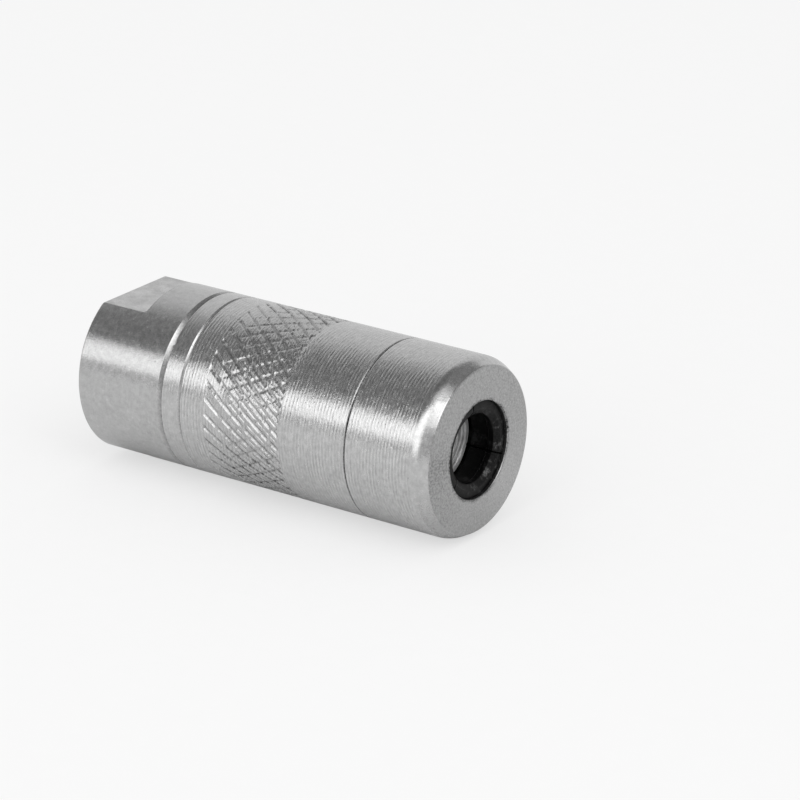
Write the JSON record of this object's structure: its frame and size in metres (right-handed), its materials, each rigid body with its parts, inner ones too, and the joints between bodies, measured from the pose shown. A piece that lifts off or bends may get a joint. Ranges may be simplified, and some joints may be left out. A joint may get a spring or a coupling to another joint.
{
  "type": "grease coupler",
  "caption": "Cylindrical grease gun coupler with knurled sleeve, wrench flats, tapped inlet and spring-loaded jaws that grip a grease fitting.",
  "frame": {"origin": "centre of the tapped inlet, in the plane of the rear end face", "axes": "+X along the barrel's axis towards the nose, +Z square to the wrench flats, +Y to the side. The part lies on its side, as in the picture."},
  "size_m": [0.0353, 0.015, 0.015],
  "materials": {
    "zinc_plated_steel": "turned and zinc plated, satin",
    "black_oxide_steel": "hardened, black oxide, oiled",
    "bright_steel": "turned bright",
    "spring_steel": "drawn spring wire",
    "ball_steel": "polished",
    "nitrile_rubber": "moulded, matt",
    "backup_plastic": "plain"
  },
  "bodies": {
    "housing": {"inlet_body": "zinc_plated_steel", "sleeve": "zinc_plated_steel", "nose_cap": "zinc_plated_steel", "main_spring": "spring_steel", "check_spring": "spring_steel", "check_retainer": "bright_steel"},
    "piston_group": {"piston": "bright_steel", "piston_o_ring": "nitrile_rubber", "piston_backup_ring": "backup_plastic", "packing": "nitrile_rubber", "packing_ring": "bright_steel", "spring_washer": "bright_steel", "jaw_spreader": "nitrile_rubber"},
    "jaw_1_body": {"jaw_1": "black_oxide_steel"},
    "jaw_2_body": {"jaw_2": "black_oxide_steel"},
    "jaw_3_body": {"jaw_3": "black_oxide_steel"},
    "check_ball_body": {"check_ball": "ball_steel"}
  },
  "joints": [
    {"name": "piston_slide", "type": "slide", "parent": "housing", "child": "piston_group", "axis": [-1, 0, 0], "range_m": [0, 0.0014], "stiffness_N_per_m": 3000, "springref_m": -0.002, "deforming": ["main_spring"]},
    {"name": "jaw_1_slide", "type": "slide", "parent": "housing", "child": "jaw_1_body", "axis": [-0.9063, 0.3375, 0.2543], "range_m": [0, 0.00155]},
    {"name": "jaw_2_slide", "type": "slide", "parent": "housing", "child": "jaw_2_body", "axis": [-0.9063, 0.0515, -0.4195], "range_m": [0, 0.00155]},
    {"name": "jaw_3_slide", "type": "slide", "parent": "housing", "child": "jaw_3_body", "axis": [-0.9063, -0.389, 0.1651], "range_m": [0, 0.00155]},
    {"name": "check_ball_lift", "type": "slide", "parent": "housing", "child": "check_ball_body", "axis": [1, 0, 0], "range_m": [0, 0.0008], "stiffness_N_per_m": 150, "springref_m": -0.0008, "deforming": ["check_spring"]}
  ],
  "couplings": [
    {"joint": "jaw_1_slide", "follows": "piston_slide", "ratio": 1.1034},
    {"joint": "jaw_2_slide", "follows": "piston_slide", "ratio": 1.1034},
    {"joint": "jaw_3_slide", "follows": "piston_slide", "ratio": 1.1034}
  ]
}
